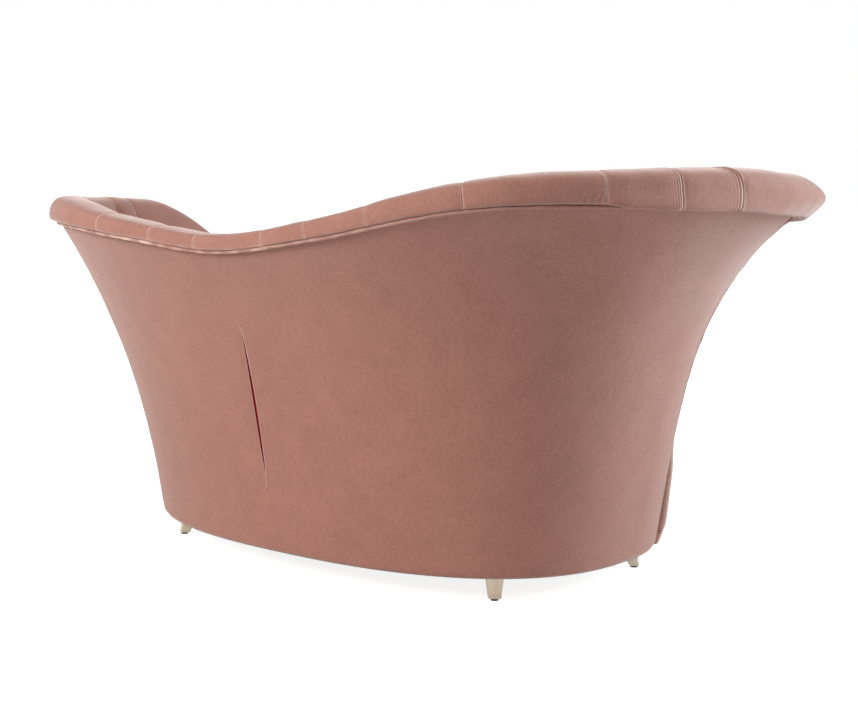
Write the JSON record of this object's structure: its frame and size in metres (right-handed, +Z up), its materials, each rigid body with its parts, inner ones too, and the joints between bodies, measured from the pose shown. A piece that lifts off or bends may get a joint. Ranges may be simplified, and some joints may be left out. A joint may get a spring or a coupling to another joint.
{
  "type": "fainting couch",
  "caption": "Upholstered fainting couch with a flared wrap-around back, a high head end that dips to a lower arm, a channelled inside back rolled over the rim and a tight seat on short legs.",
  "frame": {"origin": "on the floor under the middle of the couch's bounding box", "axes": "+Z up, +Y towards the outside of the wrapped back, +X towards the foot end with the lower arm; the high head end is at -X and the open front faces -Y"},
  "size_m": [1.9762, 1.0364, 0.9729],
  "materials": {
    "velvet": "dusty rose velvet",
    "piping": "dusty rose velvet piping",
    "red_cloth": "red lining cloth",
    "silver_leaf": "champagne silver leaf",
    "glide": "dark nylon",
    "hardwood": "raw hardwood",
    "plywood": "raw plywood",
    "steel": "plain steel",
    "jute": "woven jute",
    "dust_cloth": "black non-woven cloth"
  },
  "bodies": {
    "root": {"outside_back": "velvet", "slit_lining": "red_cloth", "back_welt": "piping", "channel_01": "velvet", "channel_02": "velvet", "channel_03": "velvet", "channel_04": "velvet", "channel_05": "velvet", "channel_06": "velvet", "channel_07": "velvet", "channel_08": "velvet", "channel_09": "velvet", "channel_10": "velvet", "channel_11": "velvet", "channel_12": "velvet", "channel_13": "velvet", "seat_pad": "velvet", "front_apron": "velvet", "apron_band": "velvet", "leg_rear_head": "silver_leaf", "leg_rear_foot": "silver_leaf", "leg_front_head": "silver_leaf", "leg_front_foot": "silver_leaf", "glide_rear_head": "glide", "glide_rear_foot": "glide", "glide_front_head": "glide", "glide_front_foot": "glide", "leg_bolt_rear_head": "steel", "leg_bolt_rear_foot": "steel", "leg_bolt_front_head": "steel", "leg_bolt_front_foot": "steel", "leg_block_rear_head": "hardwood", "leg_block_rear_foot": "hardwood", "leg_block_front_head": "hardwood", "leg_block_front_foot": "hardwood", "base_ring_back": "plywood", "base_ring_front": "plywood", "rib_1": "plywood", "rib_2": "plywood", "rib_3": "plywood", "rib_4": "plywood", "rib_5": "plywood", "rib_6": "plywood", "rib_7": "plywood", "top_rail": "plywood", "spring_rail_back": "plywood", "spring_rail_front": "hardwood", "base_stretcher_head": "hardwood", "base_stretcher_foot": "hardwood", "deck_stretcher_head": "hardwood", "deck_stretcher_foot": "hardwood", "front_stud_head": "hardwood", "front_stud_foot": "hardwood", "seat_spring_1": "steel", "seat_spring_2": "steel", "seat_spring_3": "steel", "seat_spring_4": "steel", "back_burlap": "jute", "deck_burlap": "jute", "dust_cover": "dust_cloth"}
  },
  "joints": []
}
